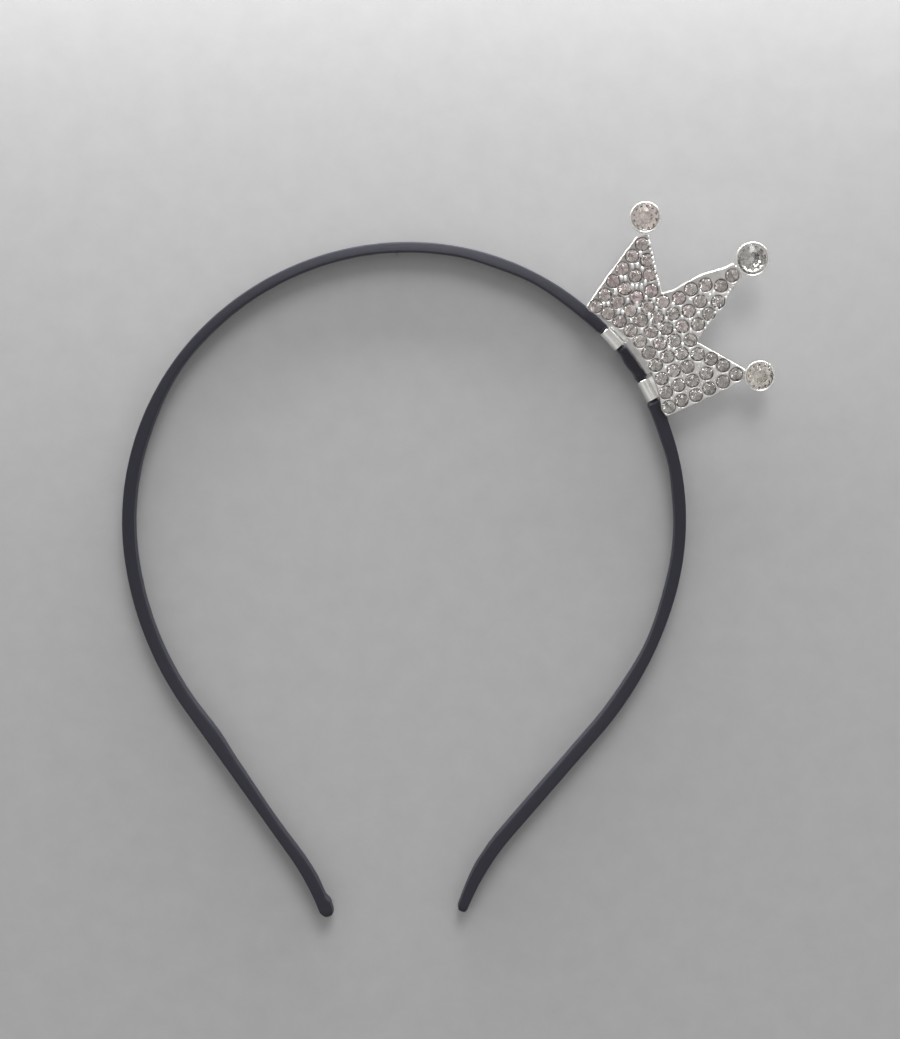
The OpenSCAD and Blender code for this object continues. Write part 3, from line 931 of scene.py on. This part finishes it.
def bead(parts, p, r, h, long, draw):
    """A domed bead on an upright stem, stretched along the beads' way and leaning a little."""
    stem = PLATE_T + h - r * BEAD_DOME
    profile = [(r, PLATE_T - BEAD_SINK), (r, stem)]
    profile += [(r * cos(a), stem + BEAD_DOME * r * sin(a)) for a in span(0, pi / 2, 6)[1:-1]]
    verts, faces = lathe(profile + [(0, stem + BEAD_DOME * r)], BEAD_SIDES)
    faces.append(tuple(range(BEAD_SIDES - 1, -1, -1)))
    shape = turned("Z", BEAD_WAY + sway(draw, BEAD_SWING)) @ Matrix.Diagonal((long, 1, 1, 1))
    leaning = turned("X", sway(draw, BEAD_TILT)) @ turned("Y", sway(draw, BEAD_TILT))
    parts.add(verts, faces, lifted(p, PLATE_T) @ leaning @ shape @ Matrix.Translation((0, 0, -PLATE_T)))


def crown_beads(metal):
    """Raised beads between the stones that they hold, and round ones along two borders."""
    draw = random.Random(11)
    parts = Parts()
    for p in bead_places(plate_outline()):
        low = smooth((p.x - BEADS_FADE_AT) / BEADS_FADE_RUN)
        r = BEAD_SIDE_R * draw.uniform(*BEAD_R_SHARES) * (1 - 0.3 * low)
        h = BEAD_H * draw.uniform(*BEAD_H_SHARES) * (1 - 0.8 * low)
        bead(parts, p, r, h, draw.uniform(*BEAD_LENGTHS), draw)
    for p in border_places():
        p += Vector((sway(draw, BORDER_SHIFT), sway(draw, BORDER_SHIFT)))
        r, h = BORDER_BEAD_R * draw.uniform(*BORDER_R_SHARES), BEAD_H * draw.uniform(*BORDER_H_SHARES)
        bead(parts, p, r, h, BORDER_LENGTH, draw)
    place(parts.build("crown_beads", [metal], CROWN), "silver", "crown_setting")


# Cup of a large stone: sides of its turned form, and its foot's chamfer, height of the knee above it
# and how much of the flare lies below that, and the ledge round its floor
CUP_SIDES = 72
CUP_CHAMFER = (0.15, 0.12)
CUP_KNEE_H = 1.1
CUP_KNEE_SHARE = 0.35
CUP_LEDGE = 0.22
# Neck of a cup: how much narrower its waist is, half of its height, and the power of its rounded section
NECK_WAIST = 0.16
NECK_HALF_T = 0.36 * PLATE_T
NECK_POWER = 0.6
NECK_SIDES = 20
NECK_STEPS = 10


def cup_profile(d):
    """Foot, flared wall, rounded rim, and the seat down to its floor."""
    outer = d / 2 + SEAT_CLEAR + CUP_WALL
    foot = CUP_FOOT_SHARE * outer
    inner = outer - CUP_WALL
    rim = CUP_WALL / 2
    mouth = d / 2 + CUP_LIP_CLEAR
    floor = TIP_GIRDLE_Z - TIP_BACK_H - SEAT_CLEAR
    profile = [(0, 0), (foot - CUP_CHAMFER[0], 0), (foot, CUP_CHAMFER[1]),
               (foot + CUP_KNEE_SHARE * (outer - foot), CUP_KNEE_H), (outer - 0.02, CUP_H - rim)]
    profile += [(outer - rim + rim * cos(a), CUP_H - rim + rim * sin(a))
                for a in span(0.25, 0.8 * pi, 6)]
    profile += [(mouth, CUP_H - 0.5 * rim), (mouth, TIP_GIRDLE_Z + 0.08), (inner, TIP_GIRDLE_Z - 0.05),
                (inner - CUP_LEDGE, TIP_GIRDLE_Z - 0.12)]
    return profile + [(CULET_SHARE * d / 2 + SEAT_CLEAR, floor), (0, floor)]


def tip_cups(metal):
    parts = Parts()
    for centre, d in TIPS:
        parts.add(*lathe(cup_profile(d), CUP_SIDES), lifted(centre, 0))
    place(parts.build("tip_cups", [metal], CROWN), "silver", "crown_setting")


def tip_necks(metal):
    """Short waisted bars, almost square in section, that join each point to its cup."""
    squared = [[copysign(abs(v) ** NECK_POWER, v) for v in way] for way in circle(NECK_SIDES)]
    parts = Parts()
    for (tip, d), root in zip(TIPS, NECK_ROOTS):
        way = (tip - root).normalized()
        across = way.orthogonal()
        last = min(STONES, key=lambda c: (c - root).length)
        start = root + way * max(0, NECK_FROM - (root - last).dot(way))
        length = (tip - start).length - d / 2
        verts = []
        for q in span(0, 1, NECK_STEPS):
            waist = 1 - NECK_WAIST * sin(pi * q)
            centre = start + way * length * q
            for u, v in squared:
                x, y = centre + across * (u * NECK_W / 2 * waist)
                verts.append((x, y, PLATE_T / 2 + v * NECK_HALF_T * (2 - waist)))
        parts.add(verts, capped_faces(NECK_STEPS + 1, NECK_SIDES))
    place(parts.build("tip_necks", [metal], CROWN), "silver", "crown_setting")


# Clips

def toward_middle(points, d):
    """The same points pulled towards their middle by d, for a chamfer."""
    points = [Vector(p) for p in points]
    middle = sum(points, Vector((0, 0))) / len(points)
    return [p - (p - middle).normalized() * d for p in points]


def clip_frame(at):
    """Local x is radial, y is across the band's width, z runs along the band."""
    x, y, heading = band_pose(CROWN_AT + at)
    turn = Matrix.Rotation(-heading, 4, "Z") @ Matrix(((0, 0, 1), (1, 0, 0), (0, 1, 0))).to_4x4()
    return Matrix.Translation((x, y, 0)) @ turn


def clip_loop(parts, matrix):
    """Loop round the pinched band, with softened rims outside."""
    sizes = ((LOOP_T + 2 * CLIP_T, LOOP_W + 2 * CLIP_T, LOOP_OUTER_R), (LOOP_T, LOOP_W, LOOP_INNER_R))
    outer, inner = ([p for c in range(4) for p in corner(c, *size, LOOP_STEPS)] for size in sizes)
    rim = toward_middle(outer, LOOP_SOFT)
    half = CLIP_LEN / 2
    layers = [(rim, -half), (outer, -half + LOOP_SOFT), (outer, -half / 3), (outer, half / 3),
              (outer, half - LOOP_SOFT), (rim, half), (inner, half), (inner, -half)]
    verts = [(x, y + BAND_W / 2, z) for points, z in layers for x, y in points]
    parts.add(verts, side_faces(len(layers), len(outer), closed=True), matrix)


def clip_strip(parts, matrix, at, leg_r, ridge):
    """The strip's end: it stands up from the loop, bends and runs out under the plate."""
    top = BAND_W / 2 + LOOP_W / 2 + CLIP_T
    drop = ARCH_R - sqrt(ARCH_R ** 2 - at * at)
    reach = CROWN_RISE + base_arc(at) + drop + SOLDER_REACH
    under = CROWN_Z - at * tan(radians(CROWN_TURN)) + SOLDER_SINK
    crest = under + ridge
    # Flush with the loop's outer side, it starts below the rounded corner
    foot = top - CLIP_T - (0 if ridge else LOOP_OUTER_R - CLIP_T)
    bend = max(under - CLIP_T, top)
    profile = [(leg_r, foot), (leg_r + CLIP_T, foot), (leg_r + CLIP_T, bend), (reach, bend), (reach, under)]
    if ridge:
        back = leg_r + RIDGE_W
        profile += [(back + 0.25, under), (back + 0.06, crest - RIDGE_FALL - 0.05), (back, crest - RIDGE_FALL)]
    r = BEND_R
    profile += [(leg_r + r - r * sin(a), crest - r + r * cos(a)) for a in span(0, pi / 2, 5)]
    soft = toward_middle(profile, STRIP_SOFT[0])
    half = CLIP_LEN / 2
    layers = [(soft, -half), (profile, -half + STRIP_SOFT[1]), (profile, half - STRIP_SOFT[1]), (soft, half)]
    verts = [(x, y, z) for points, z in layers for x, y in points]
    parts.add(verts, [f[::-1] for f in capped_faces(len(layers), len(profile))], matrix)


def band_clips(metal):
    for name, at, leg_r, ridge in (("clip_left", CLIP_LEFT_AT, LEG_LEFT_R, RIDGE_H),
                                   ("clip_right", CLIP_RIGHT_AT, LEG_RIGHT_R, 0)):
        parts = Parts()
        matrix = clip_frame(at)
        clip_loop(parts, matrix)
        clip_strip(parts, matrix, at, leg_r, ridge)
        obj = parts.build(name, [metal])
        obj.data.set_sharp_from_angle(angle=radians(SHARP_ANGLE))
        place(obj, "silver", "crown_setting")


# Stones

TABLE_SHARE = 0.5
STAR_SHARE = 0.765
STAR_RISE = 0.52
GLASS, FOIL = 0, 1
# A small stone is drawn a little wider than its solid, up to the plating that closes in round it,
# and deeper, so that its back sends light up again
SMALL_SPREAD = 0.09
# Shares of a stone's radius inside its rim and, for the small ones, inside its back's wedges
SMALL_BACK = (0.93, 0.56)
TIP_RIM = 0.84
# Slope of a large stone's wedges in degrees, near enough to 45 to send light back up
TIP_WEDGE_SLOPE = 42.5


def brilliant(n, d, crown_h, girdle_h, back_h, rim_share, back_share):
    """Brilliant cut: table, stars, mains and uppers over a thin girdle and a rim, and mains to a small end.

    The rim reaches in to rim_share of the radius, and the back's wedges from there to back_share.

    Each face has a kind and a family: 0 for the glass, 1 for the rim, 2 and 3 for the back's thin
    wedges by turns, 4 for its mains, 5 for its end.
    """
    r = d / 2
    rim_drop = 0.5 * back_h * (1 - rim_share) / (1 - back_share)
    rings = ((n, TABLE_SHARE, girdle_h + crown_h, 0), (n, STAR_SHARE, girdle_h + STAR_RISE * crown_h, 0.5),
             (2 * n, 1, girdle_h, 0), (2 * n, 1, 0, 0), (2 * n, rim_share, -rim_drop, 0),
             (n, back_share, -0.5 * back_h, 0.5), (n, CULET_SHARE, -back_h, 0))
    verts = [(r * share * c, r * share * s, z)
             for count, share, z, turn in rings for c, s in circle(count, turn)]
    star, top, low, rim, deep, point = n, 2 * n, 4 * n, 6 * n, 8 * n, 9 * n
    front, side, odd, even, mains = [tuple(range(n))], [], [], [], []
    for i in range(n):
        j, h = (i + 1) % n, (i - 1) % n
        a, b, c = 2 * i, 2 * i + 1, (2 * i + 2) % (2 * n)
        front += [(i, star + i, j), (star + i, top + a, top + b), (star + i, top + b, top + c)]
        front += [(i, star + h, top + a, star + i)]
        for u, v in ((a, b), (b, c)):
            side += [(top + u, low + u, low + v, top + v), (low + u, rim + u, rim + v, low + v)]
        odd.append((deep + i, rim + b, rim + a))
        even.append((deep + i, rim + c, rim + b))
        mains += [(rim + a, deep + h, point + i, deep + i), (deep + i, point + i, point + j)]
    groups = (front, side, odd, even, mains, [tuple(point + i for i in range(n - 1, -1, -1))])
    families = [family for family, group in enumerate(groups) for _ in group]
    kinds = [FOIL if family else GLASS for family in families]
    return verts, [f for group in groups for f in group], kinds, families


def painted_facet_tints(tint, families, painted_shades, draw):
    """The stone's tint on every face, darkened on the foil by a random share of its family's range: painted
    shade standing for the facets' dark reflections and the shadow round the rim.
    """
    out = []
    for family in families:
        low, high, lean_to = painted_shades[family]
        shade = low + (high - low) * draw.random() ** lean_to
        out.append(tuple(c * shade for c in tint))
    return out


# Tints across the field by x: a pale rose on the left point, and darker and greyer towards the right
TINT_STOPS = ((-20, (0.93, 0.87, 0.848)), (-6, (0.925, 0.877, 0.852)), (3, (0.89, 0.862, 0.838)),
              (20, (0.775, 0.76, 0.738)))


def field_tint(x, draw):
    for (x0, a), (x1, b) in zip(TINT_STOPS, TINT_STOPS[1:]):
        if x <= x1:
            break
    q = min(max((x - x0) / (x1 - x0), 0), 1)
    lift = draw.uniform(0.94, 1.03)
    rose = 0.014 * max(0.0, draw.gauss(0, 1)) * (1 - 0.6 * smooth(x / 8))
    between = [a[i] + (b[i] - a[i]) * q for i in range(3)]
    return tuple(min(1.0, c * lift * (1 - k * rose)) for c, k in zip(between, (0, 1.6, 1)))


def stone_turn(draw, tilt):
    """A stone's own turn in its seat, and a slight tilt."""
    turn = Matrix.Rotation(draw.uniform(0, 2 * pi), 4, "Z")
    turn = turned("X", sway(draw, tilt)) @ turn
    return turned("Y", sway(draw, tilt)) @ turn


# Darkest and lightest painted shade of each family of facets, and the power of its draw: below 1 most facets
# come out light, and above 1 dark. The dark rim is a painted shadow of the seat's gap, and dark wedges, mains
# and ends are painted dark reflections
SMALL_PAINTED_SHADES = ((1, 1, 1), (0.08, 0.3, 1.0), (0.1, 1.0, 0.7), (0.1, 1.0, 0.7), (0.45, 1.0, 0.5),
                (0.25, 0.8, 1.0))
# The same for a large stone, where the mains' range is the stone's own and the end comes last: the dark wedges
# are painted reflections, and the end is darkened with painted shade over its bright reflection
TIP_WEDGE_PAINTED_SHADES = ((1, 1, 1), (0.9, 1.0, 1.0), (0.06, 0.35, 1.0), (0.9, 1.0, 0.5))
TIP_MAIN_POWER = 0.8
TIP_END_PAINTED_SHADE = (0.55, 0.75, 1.0)
# Each large stone's tint, and the darkest and lightest painted shade of its mains
TIP_LOOKS = (((0.99, 0.93, 0.895), 0.84, 1.0), ((0.93, 0.915, 0.89), 0.55, 0.95),
             ((0.95, 0.915, 0.87), 0.65, 0.98))


def small_stones(*materials):
    draw = random.Random(5)
    sizes = (STONE_D + SMALL_SPREAD, STONE_CROWN_H, GIRDLE_H, STONE_BACK_H)
    verts, faces, kinds, families = brilliant(8, *sizes, *SMALL_BACK)
    parts = Parts()
    for centre in STONES:
        matrix = lifted(centre, GIRDLE_Z) @ stone_turn(draw, 2.2)
        tints = painted_facet_tints(field_tint(centre.x, draw), families, SMALL_PAINTED_SHADES, draw)
        parts.add(verts, faces, matrix, kinds, tints)
    place(parts.build("small_stones", materials, CROWN, flat=True), "small_stone", "pave_stones")


def tip_stones(*materials):
    draw = random.Random(23)
    for side, (centre, d), (tint, low, high) in zip(("left", "middle", "right"), TIPS, TIP_LOOKS):
        wedge_share = 1 - TIP_BACK_H / d / tan(radians(TIP_WEDGE_SLOPE))
        sizes = (d, TIP_STONE_CROWN_H, TIP_GIRDLE_H, TIP_BACK_H)
        verts, faces, kinds, families = brilliant(12, *sizes, TIP_RIM, wedge_share)
        parts = Parts()
        matrix = lifted(centre, TIP_GIRDLE_Z) @ stone_turn(draw, 1.5)
        painted_shades = TIP_WEDGE_PAINTED_SHADES + ((low, high, TIP_MAIN_POWER), TIP_END_PAINTED_SHADE)
        parts.add(verts, faces, matrix, kinds, painted_facet_tints(tint, families, painted_shades, draw))
        obj = parts.build(f"big_stone_{side}", materials, CROWN, flat=True)
        place(obj, "tip_stone", f"tip_stone_{side}")


# Frays of the ribbon: distance along the band, height, and each thread's reach

FRAYS = ((-2.6, 4.1, 1.5), (-36.1, 3.9, 0.9), (27.2, 4.2, 0.9), (-83.0, 3.6, 0.8), (-LEN_LEFT + 1.9, 3.4, 1.0),
         (-LEN_LEFT + 1.2, 2.6, 0.8))
THREAD_R = 0.035
THREAD_TAPER = 0.6
THREAD_SIDES = 6


def tube(path, r):
    """Round thread along the points, drawn to a fine end."""
    verts, last = [], len(path) - 1
    for i, p in enumerate(path):
        ahead = (path[min(i + 1, last)] - path[max(i - 1, 0)]).normalized()
        side = ahead.orthogonal().normalized()
        up = ahead.cross(side)
        thin = r * (1 - THREAD_TAPER * i / last)
        verts += [p + thin * (c * side + s * up) for c, s in circle(THREAD_SIDES)]
    return verts, capped_faces(len(path), THREAD_SIDES)


def ribbon_frays(material):
    draw = random.Random(3)
    parts = Parts()
    for s, z, reach in FRAYS:
        for _ in range(3):
            x, y, heading = band_pose(s + sway(draw, 0.15))
            inward = Vector((-sin(heading), -cos(heading), 0))
            along = Vector((cos(heading), -sin(heading), 0)) * draw.uniform(-0.2, 0.7)
            start = Vector((x, y, z + sway(draw, 0.3))) + inward * (BAND_T / 2 - 0.1 + fold(s))
            length = reach * draw.uniform(0.6, 1.0)
            sag = Vector((0, 0, -draw.uniform(0.2, 0.6)))
            path = [start + (inward + along * q) * length * q + sag * q * q for q in span(0, 1, 6)]
            parts.add(*tube(path, THREAD_R))
    place(parts.build("ribbon_frays", [material]), "satin")


# Floor, light and camera

def make_floor(material):
    half = 1500
    corners = [(-half, -half, 0), (half, -half, 0), (half, half, 0), (-half, half, 0)]
    make_mesh("floor", corners, [(0, 1, 2, 3)], [material])


def area_light(name, place_at, target, size, power, colour):
    data = bpy.data.lights.new(name, "AREA")
    data.shape = "RECTANGLE"
    data.size, data.size_y = size[0] * MM, size[1] * MM
    data.energy = power
    data.color = colour
    obj = add_object(name, data)
    obj.location = Vector(place_at) * MM
    obj.rotation_euler = (Vector(target) - Vector(place_at)).to_track_quat("-Z", "Y").to_euler()
    obj.visible_camera = False


# Brightness of the room by height, and the way to the window
ROOM_BY_HEIGHT = ((0.0, 0.27), (0.3, 0.37), (0.75, 0.50), (0.965, 0.56), (0.99, 0.36))
WINDOW_WAY = (0.10, 0.74, 0.66)


def make_world():
    """Soft room light: paler overhead and towards +Y, dim low down, with a window high beyond the arch."""
    world = bpy.data.worlds.new("room")
    bpy.context.scene.world = world
    world.use_nodes = True
    tree = world.node_tree
    ways = coordinates(tree, "Generated")
    split = add_node(tree, "SeparateXYZ", {"Vector": ways})
    height = ramp(tree, split.outputs["Z"], *ROOM_BY_HEIGHT)
    shares = {0: split.outputs["Y"], 1: 0.5, 2: 0.5}
    halved = add_node(tree, "Math", shares, operation="MULTIPLY_ADD")
    side = ramp(tree, halved.outputs["Value"], (0.0, 0.55), (0.5, 0.72), (1.0, 1.0))
    room = mixed(tree, "MULTIPLY", height, side)
    facing = {0: ways, 1: Vector(WINDOW_WAY).normalized()}
    toward = add_node(tree, "VectorMath", facing, operation="DOT_PRODUCT")
    pane = ramp(tree, toward.outputs["Value"], (0.965, 0.0), (0.98, 4.5))
    set_inputs(tree.nodes["Background"], {"Color": mixed(tree, "ADD", room, pane), "Strength": 1.85})


PHOTO_W, PHOTO_H = 900, 1039
PX_PER_MM = 4.5
ORIGIN_PX = (409, 248.8)
CAMERA_AT = Vector((8, -17.6, 568))


def make_camera():
    """Almost straight above the loop, aimed at the picture's middle, with the photo's scale."""
    target = Vector(((PHOTO_W / 2 - ORIGIN_PX[0]) / PX_PER_MM, (ORIGIN_PX[1] - PHOTO_H / 2) / PX_PER_MM, 0))
    data = bpy.data.cameras.new("camera")
    data.sensor_fit = "VERTICAL"
    data.sensor_height = 36
    data.lens = (target - CAMERA_AT).length * PX_PER_MM / PHOTO_H * data.sensor_height
    data.clip_start, data.clip_end = 0.01, 20
    obj = add_object("camera", data)
    back = (CAMERA_AT - target).normalized()
    right = Vector((0, 1, 0)).cross(back).normalized()
    up = back.cross(right)
    obj.matrix_world = Matrix.Translation(CAMERA_AT * MM) @ Matrix((right, up, back)).transposed().to_4x4()
    bpy.context.scene.camera = obj


satin = satin_material()
silver = silver_material("silver", (0.90, 0.875, 0.85), 0.18, 0.36, 2600, 0.00008)
# The plate's silver, darkened by its painted shade
plate_silver_painted_shade = silver_material("plate_silver_painted_shade", (0.88, 0.855, 0.83), 0.2, 0.38, 2600, 0.00008, with_painted_shade=True)
clip_silver = silver_material("clip_silver", (0.92, 0.91, 0.88), 0.16, 0.3, 900, 0.00005)
# The beads' silver is a lighter copy of the plate's: the beads are painted brighter, as a painted highlight
bead_silver_painted_highlight = silver_material("bead_silver_painted_highlight", (0.97, 0.965, 0.955), 0.22, 0.36, 2600, 0.00004)
# Painted shadow: a dark copy of the silver on the seats' walls, where the gap round each stone lies in shadow
seat_painted_shadow = silver_material("seat_painted_shadow", (0.16, 0.145, 0.14), 0.4, 0.6, 2600, 0.00006)
glass = glass_material()
foil = foil_material("stone_foil", 0.12)
tip_foil = foil_material("tip_foil", 0.07)

satin_band(satin)
crown_plate(plate_silver_painted_shade, seat_painted_shadow)
crown_beads(bead_silver_painted_highlight)
tip_cups(silver)
tip_necks(silver)
band_clips(clip_silver)
small_stones(glass, foil)
tip_stones(glass, tip_foil)
ribbon_frays(thread_material())
make_floor(floor_material())
make_world()
area_light("window", (0, 150, 27), (0, -60, 0), (600, 40), 1.9, (1.0, 0.995, 0.985))
make_camera()
bpy.context.scene.view_settings.view_transform = "Standard"
